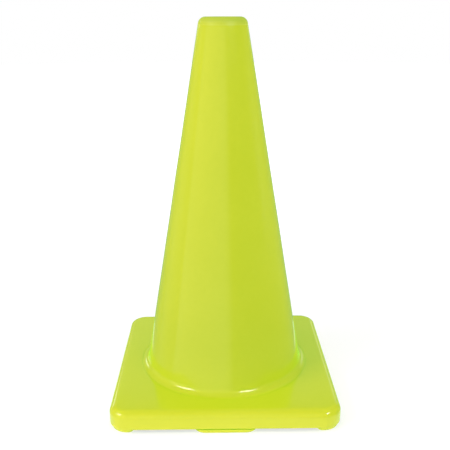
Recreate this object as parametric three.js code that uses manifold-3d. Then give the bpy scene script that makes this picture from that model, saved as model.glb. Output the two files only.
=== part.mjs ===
// A traffic cone 457 mm (18 in) tall on a 270 mm square weighted base.
// Millimetres, +Z up, -Y the front. The origin is on the ground under the cone's axis.
//
// How it goes together: the cone body comes up through the round hole in the base cover until its
// flange meets the cover's underside. The base weight is pushed in behind it, so the flange is held
// between the two, and a bead inside the cover's wall snaps into a groove round the weight. The feet
// push up into sockets in the weight, the side feet on two pegs and the corner feet on one.

import * as THREE from "three";
import { mergeVertices } from "three/addons/utils/BufferGeometryUtils.js";
import Module from "manifold-3d";

const wasm = await Module();
wasm.setup();

// ---------------------------------------------------------------- driving dimensions

const GAP = 0.3; // left between neighbouring pieces

const HEIGHT = 457.2; // ground to the top of the cone
const BASE_SIDE = 270;
const BASE_CORNER_R = 22; // in plan
const BASE_EDGE_R = 9; // rounding of the top edge
const BASE_TOP = 27; // height of the base's top face
const FOOT_HEIGHT = 4.5; // ground to the underside of the base

const CONE_FOOT_R = 99; // where the wall's line meets the base's top face
const CONE_TOP_R = 27.5; // where the wall's line meets the top
const CONE_WALL = 2.6;
const TOP_ROUND_R = 8.5; // shoulder round the opening at the top
const TOP_HOLE_R = 16.5;
const FILLET_R = 9; // hollow curve from the wall to the base's top face
const FLARE_R = 12; // the same curve on the inside of the wall
const FLANGE_R = 118;
const FLANGE_THICK = 2.6;

const RIB_COUNT = 8; // ribs inside the cone that keep stacked cones from jamming
const RIB_HEIGHT = 1.2;
const RIB_WIDTH = 3;
const RIB_LOW = 330;
const RIB_HIGH = 430;

const COVER_TOP_THICK = 3;
const COVER_WALL = 3.2;
const BEAD_HEIGHT = 1; // how far the bead stands in from the cover's wall
const BEAD_LOW = 9;
const BEAD_HIGH = 11;

const WEIGHT_HOLE_R = 108;
const POCKET_TOP = 18.5; // ceiling of the pockets in the weight's underside
const POCKET_OUTER = 127.5; // distance of their outer wall from the axis
const POCKET_INNER_R = 113;
const POCKET_SPANS = [[43, 69], [73, 101]]; // along each half side, with a rib between them
const DIAGONAL_RIB = 6; // thickness of the rib left on each diagonal

const SIDE_FOOT_HALF = 34; // half its length where it meets the base
const SIDE_FOOT_FLAT = 22; // half its length on the ground
const SIDE_FOOT_CURVE = 30; // the ends' curve turns in at this distance
const SIDE_FOOT_DEPTH = 19;
const SIDE_PEG_X = 16;
const CORNER_FOOT_SIDE = 26.5;
const CORNER_FOOT_INSET = 2.5; // from the base's sides
const CORNER_FOOT_INNER_R = 6;
const CORNER_FOOT_EDGE_R = 1.5;
const PEG_R = 4;
const PEG_TOP = 12.5;

const ROUND_SEGMENTS = 64; // sides of everything that is turned round the axis
const PEG_SEGMENTS = 16;
const CORNER_SEGMENTS = 6; // in a quarter of a turn
const EDGE_SEGMENTS = 4; // across a rounded edge

// ---------------------------------------------------------------- worked out from those

const halfSide = BASE_SIDE / 2;
const taper = (CONE_FOOT_R - CONE_TOP_R) / (HEIGHT - BASE_TOP);
const lean = Math.atan(taper); // angle between the wall and the axis
const outerRadius = (z) => CONE_FOOT_R - taper * (z - BASE_TOP);
const innerRadius = (z) => outerRadius(z) - CONE_WALL / Math.cos(lean);

const coverUnderside = BASE_TOP - COVER_TOP_THICK;
const flangeTop = coverUnderside - GAP;
const flangeBottom = flangeTop - FLANGE_THICK;
const filletZ = BASE_TOP + FILLET_R;
const filletRadius = outerRadius(filletZ) + FILLET_R / Math.cos(lean); // of the curve's centre
const cavityHalf = halfSide - COVER_WALL;
const cavityCorner = BASE_CORNER_R - COVER_WALL;
const footTop = FOOT_HEIGHT - GAP;

const sideFootY = SIDE_FOOT_DEPTH / 2 - halfSide;
const cornerFootX = halfSide - CORNER_FOOT_INSET - CORNER_FOOT_SIDE / 2;
const pegPlaces = [
  [-SIDE_PEG_X, sideFootY],
  [SIDE_PEG_X, sideFootY],
  [cornerFootX, -cornerFootX],
];

// ---------------------------------------------------------------- helpers

const lime = new THREE.MeshStandardMaterial({ color: 0xcbdc34, roughness: 0.35, metalness: 0 });
const recycled = new THREE.MeshStandardMaterial({ color: 0x2a2b29, roughness: 0.85, metalness: 0 });

// A closed mesh as a manifold-3d solid.
function solidOf(geometry) {
  const bare = geometry.clone();
  bare.deleteAttribute("normal");
  bare.deleteAttribute("uv");
  const merged = mergeVertices(bare, 1e-3);
  return new wasm.Manifold(
    new wasm.Mesh({
      numProp: 3,
      vertProperties: merged.attributes.position.array,
      triVerts: new Uint32Array(merged.index.array),
    }),
  );
}

// A manifold-3d solid as a flat-shaded geometry.
function geometryOf(solid) {
  const mesh = solid.getMesh();
  const indexed = new THREE.BufferGeometry()
    .setAttribute("position", new THREE.BufferAttribute(mesh.vertProperties, 3))
    .setIndex(new THREE.BufferAttribute(mesh.triVerts, 1));
  const flat = indexed.toNonIndexed();
  flat.computeVertexNormals();
  return flat;
}

// A closed path in the (radius, height) plane, turned round the Z axis.
function turned(path) {
  const points = path.getPoints(EDGE_SEGMENTS / 2); // an arc gets twice this many segments
  return solidOf(new THREE.LatheGeometry(points, ROUND_SEGMENTS).rotateX(Math.PI / 2));
}

function disc(radius, low, high, [x, y] = [0, 0], segments = ROUND_SEGMENTS) {
  const cylinder = new THREE.CylinderGeometry(radius, radius, high - low, segments);
  return solidOf(cylinder.rotateX(Math.PI / 2).translate(x, y, (low + high) / 2));
}

// A rectangle's outline with a radius for each corner, from back right round to front right.
function roundedOutline(half, radii) {
  const [backRight, backLeft, frontLeft, frontRight] = radii;
  const turn = Math.PI / 2;
  const shape = new THREE.Shape();
  shape.absarc(half - backRight, half - backRight, backRight, 0, turn);
  shape.absarc(backLeft - half, half - backLeft, backLeft, turn, 2 * turn);
  shape.absarc(frontLeft - half, frontLeft - half, frontLeft, 2 * turn, 3 * turn);
  shape.absarc(half - frontRight, frontRight - half, frontRight, 3 * turn, 4 * turn);
  shape.closePath();
  return shape;
}

const roundedSquare = (half, radius) => roundedOutline(half, [radius, radius, radius, radius]);

// A shape stood up from one height to another, with sharp edges.
function slab(shape, low, high, curveSegments = CORNER_SEGMENTS) {
  const geometry = new THREE.ExtrudeGeometry(shape, {
    depth: high - low,
    bevelEnabled: false,
    curveSegments,
  });
  return solidOf(geometry.translate(0, 0, low));
}

// The same with its top edge rounded.
function domedSlab(shape, low, high, edgeR) {
  const geometry = new THREE.ExtrudeGeometry(shape, {
    depth: high - low,
    bevelThickness: edgeR,
    bevelSize: edgeR,
    bevelOffset: -edgeR,
    bevelSegments: EDGE_SEGMENTS,
    curveSegments: CORNER_SEGMENTS,
  });
  const bothEnds = solidOf(geometry.translate(0, 0, low - edgeR));
  return bothEnds.subtract(everythingBelow(low));
}

function everythingBelow(z) {
  const size = 2 * BASE_SIDE;
  return solidOf(new THREE.BoxGeometry(size, size, size).translate(0, 0, z - size / 2));
}

function named(name, solid, material) {
  const mesh = new THREE.Mesh(geometryOf(solid), material);
  mesh.name = name;
  return mesh;
}

// ---------------------------------------------------------------- cone body

// Up the outside from the flange, over the shoulder, and down the inside again.
function conePath() {
  const shoulderZ = HEIGHT - TOP_ROUND_R;
  const shoulderR = outerRadius(shoulderZ) - TOP_ROUND_R / Math.cos(lean);
  const innerRoundR = TOP_ROUND_R - CONE_WALL;
  const flareZ = flangeBottom + FLARE_R;
  const flareRadius = innerRadius(flareZ) + FLARE_R / Math.cos(lean);
  const path = new THREE.Path();
  path.moveTo(FLANGE_R, flangeBottom);
  path.lineTo(FLANGE_R, flangeTop);
  path.lineTo(filletRadius, flangeTop);
  path.lineTo(filletRadius, BASE_TOP);
  path.absarc(filletRadius, filletZ, FILLET_R, 1.5 * Math.PI, Math.PI + lean, true);
  path.absarc(shoulderR, shoulderZ, TOP_ROUND_R, lean, Math.PI / 2);
  path.lineTo(TOP_HOLE_R, HEIGHT);
  path.lineTo(TOP_HOLE_R, HEIGHT - CONE_WALL);
  path.absarc(shoulderR, shoulderZ, innerRoundR, Math.PI / 2, lean, true);
  path.absarc(flareRadius, flareZ, FLARE_R, Math.PI + lean, 1.5 * Math.PI);
  path.lineTo(FLANGE_R, flangeBottom);
  return path;
}

// An upright rib on the inside of the wall, leaning with it.
function stackingRib(angle) {
  const embedded = CONE_WALL / 2;
  const thick = RIB_HEIGHT + embedded;
  const middle = (RIB_LOW + RIB_HIGH) / 2;
  const length = (RIB_HIGH - RIB_LOW) / Math.cos(lean);
  const box = new THREE.BoxGeometry(thick, RIB_WIDTH, length);
  box.rotateY(-lean);
  box.translate(innerRadius(middle) + embedded - thick / 2, 0, middle);
  return solidOf(box.rotateZ(angle));
}

function coneBody() {
  let body = turned(conePath());
  for (let i = 0; i < RIB_COUNT; i++) {
    body = body.add(stackingRib(((i + 0.5) / RIB_COUNT) * 2 * Math.PI));
  }
  return body;
}

// ---------------------------------------------------------------- base cover

function baseCover() {
  const cavity = roundedSquare(cavityHalf, cavityCorner);
  const neck = roundedSquare(cavityHalf - BEAD_HEIGHT, cavityCorner - BEAD_HEIGHT);
  const outside = roundedSquare(halfSide, BASE_CORNER_R);
  return domedSlab(outside, FOOT_HEIGHT, BASE_TOP, BASE_EDGE_R)
    .subtract(domedSlab(cavity, BEAD_HIGH, coverUnderside, BASE_EDGE_R - COVER_WALL))
    .subtract(slab(neck, BEAD_LOW - 1, BEAD_HIGH + 1))
    .subtract(slab(cavity, 0, BEAD_LOW))
    .subtract(disc(filletRadius + GAP, coverUnderside - 1, BASE_TOP + 1));
}

// ---------------------------------------------------------------- base weight

// A pocket in the underside, right of the front side's middle, between two distances from it.
function pocket(start, end) {
  const ribShift = DIAGONAL_RIB / Math.SQRT2;
  // The diagonal rib's edge is the line y = -(x + ribShift), and meets the inner wall here.
  const ribX = (Math.sqrt(2 * POCKET_INNER_R ** 2 - ribShift ** 2) - ribShift) / 2;
  const arcEnd = Math.min(end, ribX);
  const shape = new THREE.Shape();
  shape.moveTo(start, -POCKET_OUTER);
  shape.lineTo(end, -POCKET_OUTER);
  if (end > ribX) {
    shape.lineTo(end, -(end + ribShift));
  }
  const from = -Math.acos(arcEnd / POCKET_INNER_R);
  const to = -Math.acos(start / POCKET_INNER_R);
  shape.absarc(0, 0, POCKET_INNER_R, from, to, true);
  shape.closePath();
  return slab(shape, 0, POCKET_TOP, 2);
}

// Everything cut from the weight along the front side, and from the corner at its right end.
function weightCuts() {
  const cuts = [];
  for (const [start, end] of POCKET_SPANS) {
    const right = pocket(start, end);
    cuts.push(right, right.mirror([1, 0, 0]));
  }
  for (const place of pegPlaces) {
    cuts.push(disc(PEG_R + GAP, 0, PEG_TOP + GAP, place, PEG_SEGMENTS));
  }
  return cuts;
}

function baseWeight() {
  const half = cavityHalf - GAP;
  const corner = cavityCorner - GAP;
  const edgeR = BASE_EDGE_R - COVER_WALL - GAP;
  const outline = roundedSquare(half, corner);
  const waist = roundedSquare(half - BEAD_HEIGHT, corner - BEAD_HEIGHT);
  const grooveLow = BEAD_LOW - GAP;
  const grooveHigh = BEAD_HIGH + GAP;
  let weight = domedSlab(outline, grooveHigh, flangeTop, edgeR)
    .add(slab(waist, grooveLow - 1, grooveHigh + 1))
    .add(slab(outline, FOOT_HEIGHT, grooveLow))
    .subtract(disc(WEIGHT_HOLE_R, 0, BASE_TOP))
    .subtract(disc(FLANGE_R + GAP, flangeBottom - GAP, BASE_TOP));
  for (const cut of weightCuts()) {
    for (let side = 0; side < 4; side++) {
      weight = weight.subtract(cut.rotate([0, 0, 90 * side]));
    }
  }
  return weight;
}

// ---------------------------------------------------------------- feet

const peg = (x) => disc(PEG_R, footTop - 1, PEG_TOP, [x, 0], PEG_SEGMENTS);

// A bar along the front side with curved ends, its origin on the ground at its middle.
function sideFoot() {
  const shape = new THREE.Shape();
  shape.moveTo(-SIDE_FOOT_HALF, footTop);
  shape.quadraticCurveTo(-SIDE_FOOT_CURVE, 0, -SIDE_FOOT_FLAT, 0);
  shape.lineTo(SIDE_FOOT_FLAT, 0);
  shape.quadraticCurveTo(SIDE_FOOT_CURVE, 0, SIDE_FOOT_HALF, footTop);
  shape.closePath();
  const bar = slab(shape, -SIDE_FOOT_DEPTH / 2, SIDE_FOOT_DEPTH / 2).rotate([90, 0, 0]);
  return bar.add(peg(-SIDE_PEG_X)).add(peg(SIDE_PEG_X));
}

// A pad for the front right corner, which follows the base's round corner. It is made upside down,
// so the domed slab's rounded edge is the one on the ground.
function cornerFoot() {
  const inner = CORNER_FOOT_INNER_R;
  const outer = BASE_CORNER_R - CORNER_FOOT_INSET;
  const shape = roundedOutline(CORNER_FOOT_SIDE / 2, [inner, inner, inner, outer]);
  const pad = domedSlab(shape, -footTop, 0, CORNER_FOOT_EDGE_R).mirror([0, 0, 1]);
  return pad.add(peg(0));
}

// ---------------------------------------------------------------- the cone

const cone = new THREE.Group();
cone.add(named("cone_body", coneBody(), lime));
cone.add(named("base_cover", baseCover(), lime));
cone.add(named("base_weight", baseWeight(), recycled));

const sides = ["front", "right", "back", "left"];
const corners = ["front_right", "back_right", "back_left", "front_left"];
for (let turn = 0; turn < 4; turn++) {
  const side = named(`side_foot_${sides[turn]}`, sideFoot(), lime);
  side.position.set(0, sideFootY, 0);
  const corner = named(`corner_foot_${corners[turn]}`, cornerFoot(), lime);
  corner.position.set(cornerFootX, -cornerFootX, 0);
  const feet = new THREE.Group();
  feet.rotation.z = (turn * Math.PI) / 2;
  feet.add(side, corner);
  cone.add(feet);
}

export default cone;
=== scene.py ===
# A fluorescent lime traffic cone on its weighted base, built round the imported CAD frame.
# Metres, +Z up, -Y the front, the ground at z = 0.

import math

import bmesh
import bpy
from mathutils import Matrix, Vector, noise


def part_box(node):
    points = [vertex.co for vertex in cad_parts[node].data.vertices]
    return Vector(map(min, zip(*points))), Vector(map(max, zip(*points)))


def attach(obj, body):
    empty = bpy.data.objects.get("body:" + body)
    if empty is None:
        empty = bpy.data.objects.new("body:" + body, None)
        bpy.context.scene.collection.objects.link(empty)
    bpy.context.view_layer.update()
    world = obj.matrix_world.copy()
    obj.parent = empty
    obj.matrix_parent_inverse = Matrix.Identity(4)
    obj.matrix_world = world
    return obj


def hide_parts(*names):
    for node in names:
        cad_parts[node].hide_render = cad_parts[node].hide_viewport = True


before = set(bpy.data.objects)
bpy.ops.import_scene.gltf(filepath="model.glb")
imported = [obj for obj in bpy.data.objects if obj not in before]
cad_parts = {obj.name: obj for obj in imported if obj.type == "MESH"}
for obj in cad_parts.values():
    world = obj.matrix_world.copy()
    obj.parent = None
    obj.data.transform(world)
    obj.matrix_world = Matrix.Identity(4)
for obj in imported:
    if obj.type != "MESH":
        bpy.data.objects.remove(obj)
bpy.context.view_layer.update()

MM = 0.001

# ---------------------------------------------------------------- sizes read from the frame

cone_low, cone_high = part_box("cone_body")
cover_low, cover_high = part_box("base_cover")
weight_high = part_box("base_weight")[1]
side_low, side_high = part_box("side_foot_front")
pad_low, pad_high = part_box("corner_foot_front_right")

HEIGHT = cone_high.z
HALF_SIDE = cover_high.x
BASE_TOP = cover_high.z
RIM = cover_low.z  # underside of the base
FLANGE_R = cone_high.x
FLANGE_LOW = cone_low.z
FLANGE_HIGH = weight_high.z  # the flange lies flush in the ballast's top

# ---------------------------------------------------------------- sizes that the CAD source drives

CONE_FOOT_R = 99 * MM  # where the wall's line meets the base's top face
CONE_TOP_R = 27.5 * MM  # where the wall's line meets the top
CONE_WALL = 2.6 * MM
TOP_ROUND_R = 8.5 * MM
TOP_HOLE_R = 16.5 * MM
FILLET_R = 9 * MM
FLARE_R = 12 * MM
RIB_COUNT = 8
RIB_HEIGHT = 1.2 * MM
RIB_WIDTH = 3 * MM
RIB_LOW = 330 * MM
RIB_HIGH = 430 * MM

CORNER_R = 22 * MM
EDGE_R = 9 * MM
COVER_WALL = 3.2 * MM
COVER_TOP_THICK = 3 * MM
BEAD_HEIGHT = 1 * MM
BEAD_LOW = 9 * MM
BEAD_HIGH = 11 * MM
GAP = 0.3 * MM  # clearance between pieces

WEIGHT_HOLE_R = 108 * MM
POCKET_TOP = 18.5 * MM
POCKET_OUTER = 127.5 * MM
POCKET_INNER_R = 113 * MM
POCKET_SPANS = ((43 * MM, 69 * MM), (73 * MM, 101 * MM))
DIAGONAL_RIB = 6 * MM

SIDE_FOOT_FLAT = 22 * MM
SIDE_FOOT_CURVE = 30 * MM
SIDE_PEG_X = 16 * MM
PAD_INNER_R = 6 * MM
PAD_EDGE_R = 1.5 * MM
PEG_R = 4 * MM
FOOT_TOP = RIM - GAP

# ---------------------------------------------------------------- sizes of the visible meshes only

SEAM_R = 0.12 * MM  # rounding of the two edges at the seam between cone and cover
SEAM_GAP = 0.08 * MM
LIP_R = 0.9 * MM  # rounding of the opening's edges
RIB_SOFT = 0.8 * MM  # width over which a rib's sides rise
RIB_RUN = 3 * MM  # length over which its ends rise

# ---------------------------------------------------------------- worked out from those

taper = (CONE_FOOT_R - CONE_TOP_R) / (HEIGHT - BASE_TOP)
lean = math.atan(taper)


def outer_radius(z):
    return CONE_FOOT_R - taper * (z - BASE_TOP)


def inner_radius(z):
    return outer_radius(z) - CONE_WALL / math.cos(lean)


fillet_z = BASE_TOP + FILLET_R
fillet_radius = outer_radius(fillet_z) + FILLET_R / math.cos(lean)

# ---------------------------------------------------------------- mesh helpers


def limited(value):
    """value held between 0 and 1."""
    return min(max(value, 0), 1)


def arc(cx, cz, radius, start, end, steps):
    """Points round part of a circle, from one angle to another, both in degrees."""
    points = []
    for i in range(steps + 1):
        a = math.radians(start + (end - start) * i / steps)
        points.append((cx + radius * math.cos(a), cz + radius * math.sin(a)))
    return points


def line(a, b, steps):
    """Points on a straight line, without its two ends."""
    share = [i / steps for i in range(1, steps)]
    return [(a[0] + (b[0] - a[0]) * s, a[1] + (b[1] - a[1]) * s) for s in share]


def new_object(name, mesh):
    piece = bpy.data.objects.new(name, mesh)
    bpy.context.scene.collection.objects.link(piece)
    return piece


def mesh_of(name, points, faces):
    """A mesh with doubled points merged and its normals outward."""
    mesh = bpy.data.meshes.new(name)
    mesh.from_pydata(points, [], faces)
    tidy = bmesh.new()
    tidy.from_mesh(mesh)
    bmesh.ops.remove_doubles(tidy, verts=tidy.verts, dist=1e-6)
    bmesh.ops.recalc_face_normals(tidy, faces=tidy.faces)
    tidy.to_mesh(mesh)
    tidy.free()
    return mesh


def smooth(mesh, sharp_angle=35):
    """Smooth shading, with edges kept sharp where faces meet at more than so many degrees."""
    mesh.polygons.foreach_set("use_smooth", [True] * len(mesh.polygons))
    mesh.set_sharp_from_angle(angle=math.radians(sharp_angle))


def grid_faces(rings, columns, closed):
    """Quads between rings of points that each close on themselves.

    closed also joins the last ring to the first.
    """
    faces = []
    for i in range(rings if closed else rings - 1):
        a = i * columns
        b = (i + 1) % rings * columns
        for j in range(columns):
            k = (j + 1) % columns
            faces.append((a + j, a + k, b + k, b + j))
    return faces


def finished_mesh(piece):
    """The piece's mesh with its modifiers applied."""
    graph = bpy.context.evaluated_depsgraph_get()
    return bpy.data.meshes.new_from_object(piece.evaluated_get(graph))


def boolean(piece, cutter, operation):
    """Joins or cuts piece with cutter, which is then gone."""
    step = piece.modifiers.new("step", "BOOLEAN")
    step.operation = operation
    step.solver = "EXACT"
    step.object = cutter
    made = finished_mesh(piece)
    piece.modifiers.clear()
    piece.data = made
    bpy.data.objects.remove(cutter)


def rounded_outline(half, radii, side_steps, corner_steps):
    """(point, outward normal) pairs round a square, with a radius for each corner from back right."""
    pairs = []
    for turn, radius in enumerate(radii):
        middle = half - radius
        spin = Matrix.Rotation(turn * math.pi / 2, 2)
        for i in range(corner_steps + 1):
            a = math.pi / 2 * i / corner_steps
            normal = Vector((math.cos(a), math.sin(a)))
            pairs.append((spin @ (Vector((middle, middle)) + radius * normal), spin @ normal))
        start = spin @ Vector((middle, half))
        end = spin @ Vector((radii[(turn + 1) % 4] - half, half))
        normal = spin @ Vector((0, 1))
        for i in range(1, side_steps):
            pairs.append((start.lerp(end, i / side_steps), normal.copy()))
    return pairs


def ring(outline, inset, z):
    """The outline moved in by inset, at a height."""
    return [(p - inset * n).to_3d() + Vector((0, 0, z)) for p, n in outline]


def lofted(name, rings):
    """A solid through rings of points from one flat end to the other."""
    columns = len(rings[0])
    points = [p for r in rings for p in r]
    faces = grid_faces(len(rings), columns, closed=False)
    faces.append(tuple(range(columns)))
    faces.append(tuple(range(len(points) - columns, len(points))))
    return mesh_of(name, points, faces)


# ---------------------------------------------------------------- surface unevenness

SLOW_SIZE, SLOW_HEIGHT = 48 * MM, 0.13 * MM
QUICK_SIZE, QUICK_HEIGHT = 17 * MM, 0.035 * MM


def unevenness(x, y, z):
    """How far a moulded surface stands off its ideal shape at a point."""
    slow = noise.noise(Vector((x, y, z)) / SLOW_SIZE)
    quick = noise.noise(Vector((x, y, z + 1)) / QUICK_SIZE)
    return SLOW_HEIGHT * slow + QUICK_HEIGHT * quick


# ---------------------------------------------------------------- cone body


def cone_profile():
    """The closed section of the cone body: up the outside, over the shoulder and down the inside."""
    lean_deg = math.degrees(lean)
    shoulder_z = HEIGHT - TOP_ROUND_R
    shoulder_r = outer_radius(shoulder_z) - TOP_ROUND_R / math.cos(lean)
    flare_z = FLANGE_LOW + FLARE_R
    flare_r = inner_radius(flare_z) + FLARE_R / math.cos(lean)
    hole_low = HEIGHT - CONE_WALL
    fillet_end = 268  # degrees, a little short of flat, where the seam's rounding takes over

    points = [(FLANGE_R, FLANGE_LOW), (FLANGE_R, FLANGE_HIGH), (fillet_radius, FLANGE_HIGH)]
    points += arc(fillet_radius - SEAM_R, BASE_TOP - SEAM_R, SEAM_R, 0, 90, 3)
    fillet = arc(fillet_radius, fillet_z, FILLET_R, fillet_end, 180 + lean_deg, 24)
    shoulder = arc(shoulder_r, shoulder_z, TOP_ROUND_R, lean_deg, 90, 16)
    points += fillet + line(fillet[-1], shoulder[0], 56) + shoulder
    points += arc(TOP_HOLE_R + LIP_R, HEIGHT - LIP_R, LIP_R, 90, 180, 5)
    points += arc(TOP_HOLE_R + LIP_R, hole_low + LIP_R, LIP_R, 180, 270, 5)
    inside = arc(shoulder_r, shoulder_z, TOP_ROUND_R - CONE_WALL, 90, lean_deg, 12)
    flare = arc(flare_r, flare_z, FLARE_R, 180 + lean_deg, 270, 16)
    points += inside + line(inside[-1], flare[0], 90) + flare
    return points


def rib_height(angle, z):
    """How far the stacking ribs stand in from the inside wall."""
    pitch = 2 * math.pi / RIB_COUNT
    off = abs((angle / pitch) % 1 - 0.5) * pitch * inner_radius(z)
    across = limited(((RIB_WIDTH + RIB_SOFT) / 2 - off) / RIB_SOFT)
    along = limited(min(z - RIB_LOW, RIB_HIGH - z) / RIB_RUN)
    return RIB_HEIGHT * across * along


def cone_body():
    """The hollow cone, uneven on its walls but true where it meets the base."""
    columns = 384
    fade = 20 * MM  # height over which the unevenness sets in
    profile = cone_profile()
    points = []
    for r, z in profile:
        on_wall = limited((z - fillet_z) / fade)
        on_inside = r < inner_radius(z) + CONE_WALL / 4 and z < HEIGHT - TOP_ROUND_R
        for j in range(columns):
            a = 2 * math.pi * j / columns
            x, y = r * math.cos(a), r * math.sin(a)
            off = on_wall * unevenness(x, y, z)
            if on_inside:
                off -= rib_height(a, z)
            points.append(((r + off) * math.cos(a), (r + off) * math.sin(a), z))
    mesh = mesh_of("cone_body", points, grid_faces(len(profile), columns, closed=True))
    smooth(mesh)
    return new_object("cone_shell", mesh)


# ---------------------------------------------------------------- base cover


def cover_profile():
    """(inset, height) pairs from the flat of the top face, down the outside and up the inside."""
    foot_round = 1.5 * MM
    inner_round = 0.6 * MM
    inner_edge = EDGE_R - COVER_WALL
    ceiling = BASE_TOP - COVER_TOP_THICK
    outside = arc(EDGE_R, BASE_TOP - EDGE_R, EDGE_R, 90, 180, 16)
    bottom = arc(foot_round, RIM + foot_round, foot_round, 180, 270, 5)
    inner_foot = arc(COVER_WALL - inner_round, RIM + inner_round, inner_round, 270, 360, 3)
    bead = [
        (COVER_WALL, BEAD_LOW),
        (COVER_WALL + BEAD_HEIGHT, BEAD_LOW),
        (COVER_WALL + BEAD_HEIGHT, BEAD_HIGH),
        (COVER_WALL, BEAD_HIGH),
    ]
    inside = arc(EDGE_R, ceiling - inner_edge, inner_edge, 180, 90, 8)
    return outside + line(outside[-1], bottom[0], 8) + bottom + inner_foot + bead + inside


def base_cover():
    """The tray turned upside down, with the hole that the cone comes up through."""
    outline = rounded_outline(HALF_SIDE, [CORNER_R] * 4, 44, 18)
    rings = [ring(outline, inset, z) for inset, z in cover_profile()]
    hole_r = fillet_radius + SEAM_GAP
    ceiling = BASE_TOP - COVER_TOP_THICK
    seam_fade = 8 * MM  # the unevenness sets in over these distances
    rim_fade = 4 * MM

    def circle(radius, z):
        flat = [Vector((p.x, p.y)).normalized() for p, _ in outline]
        return [(radius * d).to_3d() + Vector((0, 0, z)) for d in flat]

    def between(a, b, steps):
        return [[p.lerp(q, i / steps) for p, q in zip(a, b)] for i in range(1, steps)]

    rings += between(rings[-1], circle(hole_r, ceiling), 3)
    rings.append(circle(hole_r, ceiling))
    rings += [circle(r, z) for r, z in arc(hole_r + SEAM_R, BASE_TOP - SEAM_R, SEAM_R, 180, 90, 3)]
    rings += between(rings[-1], rings[0], 12)
    columns = len(outline)
    points = [p for r in rings for p in r]
    mesh = mesh_of("base_cover", points, grid_faces(len(rings), columns, closed=True))
    for v in mesh.vertices:
        x, y, z = v.co
        from_seam = (math.hypot(x, y) - hole_r) / seam_fade
        from_rim = (z - RIM) / rim_fade
        v.co += v.normal * unevenness(x, y, z) * limited(min(from_seam, from_rim))
    smooth(mesh)
    return new_object("base_skin", mesh)


# ---------------------------------------------------------------- base weight


def prism(name, outline, low, high):
    """A straight solid on an outline of 2D points."""
    return lofted(name, [[p.to_3d() + Vector((0, 0, z)) for p in outline] for z in (low, high)])


def disc(radius, low, high, centre=(0, 0), sides=192):
    """A round solid to cut or join with."""
    turn = [2 * math.pi * i / sides for i in range(sides)]
    rim = [Vector(centre) + radius * Vector((math.cos(a), math.sin(a))) for a in turn]
    return new_object("disc", prism("disc", rim, low, high))


def pocket_outline(start, end):
    """A pocket in the ballast's underside, from one x to another, between its rim and its hole."""
    shift = DIAGONAL_RIB / math.sqrt(2)
    meet_x = (math.sqrt(2 * POCKET_INNER_R**2 - shift**2) - shift) / 2
    outline = [Vector((start, -POCKET_OUTER)), Vector((end, -POCKET_OUTER))]
    if end > meet_x:
        outline.append(Vector((end, -(end + shift))))
    last = min(end, meet_x)
    steps = 8
    for i in range(steps + 1):
        x = last + (start - last) * i / steps
        outline.append(Vector((x, -math.sqrt(POCKET_INNER_R**2 - x**2))))
    return outline


def base_weight():
    """The ballast: a square ring grooved for the cover's bead, with pockets between ribs underneath."""
    half = weight_high.x
    corner = CORNER_R - COVER_WALL - GAP
    edge_r = EDGE_R - COVER_WALL - GAP
    groove_low = BEAD_LOW - GAP
    groove_high = BEAD_HIGH + GAP
    chamfer = 0.5 * MM
    outline = rounded_outline(half, [corner] * 4, 12, 12)
    profile = [(chamfer, RIM), (0, RIM + chamfer), (0, groove_low)]
    profile += [(BEAD_HEIGHT, groove_low), (BEAD_HEIGHT, groove_high), (0, groove_high)]
    profile += arc(edge_r, FLANGE_HIGH - edge_r, edge_r, 180, 90, 8)
    weight = new_object("weight", lofted("weight", [ring(outline, i, z) for i, z in profile]))
    boolean(weight, disc(WEIGHT_HOLE_R, -BASE_TOP, 2 * BASE_TOP), "DIFFERENCE")
    boolean(weight, disc(FLANGE_R + GAP, FLANGE_LOW - GAP, 2 * BASE_TOP), "DIFFERENCE")
    for start, end in POCKET_SPANS:
        for flip in (1, -1):
            for turn in range(4):
                spin = Matrix.Rotation(turn * math.pi / 2, 2)
                edge = [spin @ Vector((flip * p.x, p.y)) for p in pocket_outline(start, end)]
                cutter = new_object("pocket", prism("pocket", edge, -BASE_TOP, POCKET_TOP))
                boolean(weight, cutter, "DIFFERENCE")
    soften = weight.modifiers.new("soften", "BEVEL")
    soften.width = 0.7 * MM
    soften.segments = 3
    soften.limit_method = "ANGLE"
    soften.angle_limit = math.radians(50)
    soften.use_clamp_overlap = True
    made = finished_mesh(weight)
    bpy.data.objects.remove(weight)
    made.name = "base_weight"
    smooth(made)
    return new_object("ballast", made)


# ---------------------------------------------------------------- feet


def side_foot_mesh():
    """A bar along the front side, its curved ends running up into the base."""
    half = side_high.x
    steps = 12
    ends = []
    for i in range(steps + 1):
        t = i / steps
        x = (1 - t) ** 2 * half + 2 * t * (1 - t) * SIDE_FOOT_CURVE + t * t * SIDE_FOOT_FLAT
        ends.append((x, (1 - t) ** 2 * FOOT_TOP))
    section = ends + [(-x, z) for x, z in reversed(ends)]
    edge = 1.0 * MM
    low_y, high_y = side_low.y, side_high.y
    rings = []
    front = arc(edge, low_y + edge, edge, 270, 180, 5)
    back = arc(edge, high_y - edge, edge, 180, 90, 5)
    for inset, y in front + back:
        wide, deep = 1 - inset / half, 1 - inset / FOOT_TOP
        rings.append([Vector((x * wide, y, FOOT_TOP - (FOOT_TOP - z) * deep)) for x, z in section])
    return lofted("side_foot", rings)


def corner_foot_mesh():
    """A pad under the front right corner, rounded where it meets the ground."""
    half = (pad_high.x - pad_low.x) / 2
    centre = (pad_low + pad_high) / 2
    outer = CORNER_R - (HALF_SIDE - pad_high.x)
    radii = [PAD_INNER_R, PAD_INNER_R, PAD_INNER_R, outer]
    outline = rounded_outline(half, radii, 8, 12)
    outline = [(p + Vector((centre.x, centre.y)), n) for p, n in outline]
    profile = [(0, FOOT_TOP)] + arc(PAD_EDGE_R, PAD_EDGE_R, PAD_EDGE_R, 180, 270, 10)
    return lofted("corner_foot", [ring(outline, inset, z) for inset, z in profile])


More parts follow.
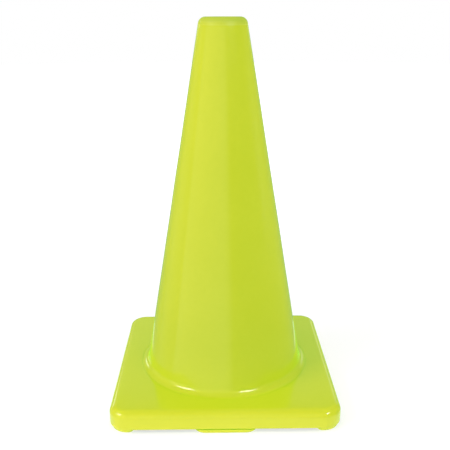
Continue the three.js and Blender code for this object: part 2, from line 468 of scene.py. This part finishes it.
def placed_foot(name, mesh, turn, pegs):
    """One foot with its pegs, turned to its side or corner."""
    foot = new_object(name, mesh.copy())
    peg_low = FOOT_TOP - 1 * MM  # inside the foot, so that the two join
    for centre in pegs:
        boolean(foot, disc(PEG_R, peg_low, side_high.z, centre, 48), "UNION")
    foot.data.transform(Matrix.Rotation(turn * math.pi / 2, 4, "Z"))
    foot.data.name = name
    smooth(foot.data, 50)
    return foot


def feet():
    """All eight feet, by the names of the nodes that they replace."""
    side, corner = side_foot_mesh(), corner_foot_mesh()
    side_y = (side_low.y + side_high.y) / 2
    pad = (pad_low + pad_high) / 2
    made = {}
    for turn, name in enumerate(("front", "right", "back", "left")):
        pegs = [(-SIDE_PEG_X, side_y), (SIDE_PEG_X, side_y)]
        made[f"side_foot_{name}"] = placed_foot(f"foot_{name}", side, turn, pegs)
    for turn, name in enumerate(("front_right", "back_right", "back_left", "front_left")):
        pegs = [(pad.x, pad.y)]
        made[f"corner_foot_{name}"] = placed_foot(f"pad_{name}", corner, turn, pegs)
    return made


# ---------------------------------------------------------------- materials


class Nodes:
    """A material's node tree, with short calls to add and link nodes."""

    def __init__(self, name):
        self.material = bpy.data.materials.new(name)
        self.material.use_nodes = True
        self.tree = self.material.node_tree
        self.shader = self.tree.nodes["Principled BSDF"]
        self.where = self.tree.nodes.new("ShaderNodeTexCoord").outputs["Object"]

    def link(self, a, b):
        self.tree.links.new(a, b)

    def noise(self, size, detail=2.0, roughness=0.5):
        """Noise from 0 to 1 whose features are about size metres across."""
        node = self.tree.nodes.new("ShaderNodeTexNoise")
        node.inputs["Scale"].default_value = 1 / size
        node.inputs["Detail"].default_value = detail
        node.inputs["Roughness"].default_value = roughness
        self.link(self.where, node.inputs["Vector"])
        return node.outputs["Fac"]

    def spread(self, value, low, high, to_low=0.0, to_high=1.0):
        """value from low..high to to_low..to_high, held at its ends."""
        node = self.tree.nodes.new("ShaderNodeMapRange")
        node.inputs["From Min"].default_value = low
        node.inputs["From Max"].default_value = high
        node.inputs["To Min"].default_value = to_low
        node.inputs["To Max"].default_value = to_high
        self.link(value, node.inputs["Value"])
        return node.outputs["Result"]

    def height(self):
        split = self.tree.nodes.new("ShaderNodeSeparateXYZ")
        self.link(self.where, split.inputs[0])
        return split.outputs["Z"]

    def add(self, a, b):
        node = self.tree.nodes.new("ShaderNodeMath")
        node.operation = "ADD"
        self.link(a, node.inputs[0])
        self.link(b, node.inputs[1])
        return node.outputs[0]

    def blend(self, share, a, b):
        """Colour a where share is 0 and b where it is 1. Either may be a colour or a socket."""
        node = self.tree.nodes.new("ShaderNodeMix")
        node.data_type = "RGBA"
        self.link(share, node.inputs["Factor"])
        for socket, colour in ((node.inputs[6], a), (node.inputs[7], b)):
            if isinstance(colour, tuple):
                socket.default_value = (*colour, 1)
            else:
                self.link(colour, socket)
        return node.outputs[2]

    def bump(self, height, strength, distance, under=None):
        node = self.tree.nodes.new("ShaderNodeBump")
        node.inputs["Strength"].default_value = strength
        node.inputs["Distance"].default_value = distance
        self.link(height, node.inputs["Height"])
        if under is not None:
            self.link(under, node.inputs["Normal"])
        return node.outputs["Normal"]


def lime_pvc():
    """Fluorescent lime flexible PVC: a glossy moulded skin with a faint orange peel.

    The emission is a painted green glow that hardly follows the shading, so the shaded parts stay green.
    The top edge, where a cone is gripped, is scuffed matt, and its colour is darker there as painted shade.
    """
    m = Nodes("lime_pvc")
    cloudy = m.spread(m.noise(70 * MM, 3), 0.3, 0.7)
    body = m.blend(cloudy, (0.522, 0.345, 0.017), (0.538, 0.357, 0.021))
    mottle = m.spread(m.noise(6 * MM, 4), 0.35, 0.65, 0, 0.35)
    mottled = m.blend(mottle, body, (0.508, 0.336, 0.016))
    # painted shade: the colour darkens on the top shoulder; the same mask raises the roughness there for
    # the scuff
    shoulder_shade_and_scuff = m.spread(m.height(), HEIGHT - 1.2 * TOP_ROUND_R, HEIGHT - 0.5 * TOP_ROUND_R)
    m.link(m.blend(shoulder_shade_and_scuff, mottled, (0.445, 0.285, 0.014)), m.shader.inputs["Base Color"])
    handled = m.spread(m.noise(38 * MM, 4, 0.6), 0.3, 0.7, 0.10, 0.14)
    scuffed = m.spread(shoulder_shade_and_scuff, 0, 0.43, 0, 0.42)  # sets in faster than the dulling
    m.link(m.add(handled, scuffed), m.shader.inputs["Roughness"])
    peel = m.bump(m.noise(1.8 * MM, 1), 0.08, 0.03 * MM)
    waves = m.bump(m.noise(14 * MM, 1), 0.20, 0.08 * MM, peel)
    m.link(waves, m.shader.inputs["Normal"])
    m.shader.inputs["IOR"].default_value = 1.5
    m.shader.inputs["Specular IOR Level"].default_value = 0.6
    # painted glow: a steady green emission, the same in light and in shade
    m.shader.inputs["Emission Color"].default_value = (0.0, 1.0, 0.0, 1)
    m.shader.inputs["Emission Strength"].default_value = 0.285
    return m.material


def recycled_pvc():
    """Black recycled PVC: matt and slightly grainy, with pale flecks of other plastic in it."""
    m = Nodes("black_recycled_pvc")
    grey = m.blend(m.spread(m.noise(30 * MM, 4), 0.3, 0.7), (0.018, 0.019, 0.018), (0.034, 0.034, 0.032))
    flecks = m.spread(m.noise(1.4 * MM, 1), 0.70, 0.74)
    m.link(m.blend(flecks, grey, (0.12, 0.12, 0.10)), m.shader.inputs["Base Color"])
    m.link(m.spread(m.noise(9 * MM, 3), 0.3, 0.7, 0.62, 0.82), m.shader.inputs["Roughness"])
    grain = m.bump(m.noise(0.9 * MM, 3, 0.6), 0.5, 0.12 * MM)
    m.link(grain, m.shader.inputs["Normal"])
    m.shader.inputs["Specular IOR Level"].default_value = 0.4
    return m.material


# ---------------------------------------------------------------- the stage


def paper_white():
    """Pale paper that turns to plain white away from the object."""
    m = Nodes("pale_floor")
    shade = m.blend(m.spread(m.noise(0.9, 2), 0.3, 0.7), (0.40, 0.40, 0.40), (0.42, 0.42, 0.42))
    m.link(shade, m.shader.inputs["Base Color"])
    m.shader.inputs["Roughness"].default_value = 0.9
    m.shader.inputs["Specular IOR Level"].default_value = 0.0
    away = m.tree.nodes.new("ShaderNodeVectorMath")
    away.operation = "LENGTH"
    m.link(m.where, away.inputs[0])
    m.shader.inputs["Emission Color"].default_value = (1, 1, 1, 1)
    m.link(m.spread(away.outputs["Value"], 0.3, 1.6, 0.62, 1.0), m.shader.inputs["Emission Strength"])
    return m.material


def floor_and_backdrop():
    """A pale floor and a white sky that only the camera sees.

    The glossy skin mirrors a small sheet of the same floor and none of the rest, so the base's sides show
    it and the cone's rims stay lime.
    """
    reach = 6
    sides = 96
    sheet_side = 0.35
    paper = paper_white()
    turn = [2 * math.pi * i / sides for i in range(sides)]
    rim = [(reach * math.cos(a), reach * math.sin(a), 0) for a in turn]
    disc_mesh = bpy.data.meshes.new("floor")
    disc_mesh.from_pydata(rim, [], [tuple(range(sides))])
    floor = new_object("floor", disc_mesh)
    floor.visible_glossy = False
    bpy.ops.mesh.primitive_plane_add(size=sheet_side)
    sheet = bpy.context.object
    sheet.name = "reflected_floor"
    sheet.visible_camera = False
    sheet.visible_diffuse = False
    sheet.visible_shadow = False
    for piece in (floor, sheet):
        piece.data.materials.append(paper)

    bpy.ops.mesh.primitive_uv_sphere_add(segments=64, ring_count=32, radius=reach)
    sky = bpy.context.object
    sky.name = "backdrop"
    white = Nodes("white_backdrop")
    white.shader.inputs["Base Color"].default_value = (0, 0, 0, 1)
    white.shader.inputs["Specular IOR Level"].default_value = 0.0
    white.shader.inputs["Emission Color"].default_value = (1, 1, 1, 1)
    white.shader.inputs["Emission Strength"].default_value = 1.0
    sky.data.materials.append(white.material)
    sky.visible_diffuse = False
    sky.visible_glossy = False
    sky.visible_transmission = False
    sky.visible_shadow = False


MIDDLE = Vector((0, 0, 0.12))  # low in the cone: what most lights point at
FOOT = Vector((0, 0, 0.03))  # level with the hollow curve, where the gleams show


def softbox(name, place, target, size, power, spread=180):
    """A rectangular light that faces target, unseen by the camera."""
    lamp = bpy.data.lights.new(name, "AREA")
    lamp.shape = "RECTANGLE"
    lamp.size, lamp.size_y = size
    lamp.energy = power
    lamp.spread = math.radians(spread)
    box = new_object(name, lamp)
    box.location = place
    box.rotation_euler = (Vector(target) - Vector(place)).to_track_quat("-Z", "Y").to_euler()
    box.visible_camera = False
    return box


def lit(name, place, target, size, power, spread=180):
    """A softbox that lights the surfaces but isn't mirrored in them."""
    softbox(name, place, target, size, power, spread).visible_glossy = False


def gleam(name, place, target, size, power):
    """A softbox that is only mirrored in the surfaces."""
    softbox(name, place, target, size, power).visible_diffuse = False


def around(azimuth, elevation, distance):
    """A place seen from MIDDLE: azimuth 0 in front and 90 to the right."""
    a, e = math.radians(azimuth), math.radians(elevation)
    flat = distance * math.cos(e)
    return MIDDLE + Vector((flat * math.sin(a), -flat * math.cos(a), distance * math.sin(e)))


def lighting():
    """An even white room, softboxes that light the surfaces, and others that are only mirrored in them.

    The left and right gleams make the streaks in the hollow curve. They stand far off, at a height that the
    cone's wall and the base's flat top mirror in few views.
    """
    world = bpy.data.worlds.new("studio")
    bpy.context.scene.world = world
    world.use_nodes = True
    room = world.node_tree.nodes["Background"]
    room.inputs["Color"].default_value = (1, 1, 1, 1)
    room.inputs["Strength"].default_value = 0.26

    lit("key_left", around(-61, 36, 2.2), MIDDLE, (1.2, 0.4), 20.5)
    lit("fill_right", around(37, 26, 2.2), MIDDLE, (1.3, 0.25), 8)
    lit("side_left", around(-105, 5, 2.2), MIDDLE, (0.8, 0.8), 7)
    lit("side_right", around(100, 5, 2.2), MIDDLE, (0.8, 0.8), 13)
    lit("overhead", (0, 0.2, 2.6), MIDDLE, (5.0, 5.0), 80)
    lit("base_strip", (-0.15, -0.8, 0.05), (0, -HALF_SIDE, -0.05), (1.0, 0.06), 0.34, 20)

    gleam("sheen_front", around(-35, 8, 2.0), MIDDLE, (4.2, 2.6), 14)
    gleam("sheen_left", around(-60, 8, 1.5), MIDDLE, (6.0, 2.6), 8)
    gleam("sheen_back", around(180, 19, 3.0), MIDDLE, (5.0, 1.2), 4.5)
    gleam("gleam_left", around(-62, 33.5, 8), FOOT, (3.4, 0.6), 190)
    gleam("gleam_right", around(34, 33.5, 8), FOOT, (2.6, 0.5), 260)
    gleam("gleam_back_left", around(-142, 13, 8), FOOT, (2.4, 1.2), 22)
    gleam("gleam_back_right", around(150, 13, 8), FOOT, (2.6, 1.2), 8)


def camera():
    """The viewpoint: level with the top of the cone, a little left of the middle, tilted down."""
    lens = bpy.data.cameras.new("camera")
    lens.sensor_width = 36  # mm
    lens.lens = 55.88  # mm
    lens.clip_start = 0.01
    eye = new_object("camera", lens)
    turn = Matrix.Rotation(math.radians(-0.874), 3, "Z")
    tilt = Matrix.Rotation(math.radians(90 - 16.98), 3, "X")
    roll = Matrix.Rotation(math.radians(-0.137), 3, "Z")
    eye.rotation_euler = (turn @ tilt @ roll).to_euler()
    eye.location = (-10.9 * MM, -831.7 * MM, 462.4 * MM)
    bpy.context.scene.camera = eye


# ---------------------------------------------------------------- the object

camera()
lime = lime_pvc()
black = recycled_pvc()

made = {"cone_body": cone_body(), "base_cover": base_cover(), "base_weight": base_weight()}
made.update(feet())
for node, piece in made.items():
    is_weight = node == "base_weight"
    piece.data.materials.clear()
    piece.data.materials.append(black if is_weight else lime)
    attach(piece, "root")
    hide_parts(node)

floor_and_backdrop()
lighting()
bpy.context.scene.view_settings.view_transform = "Standard"
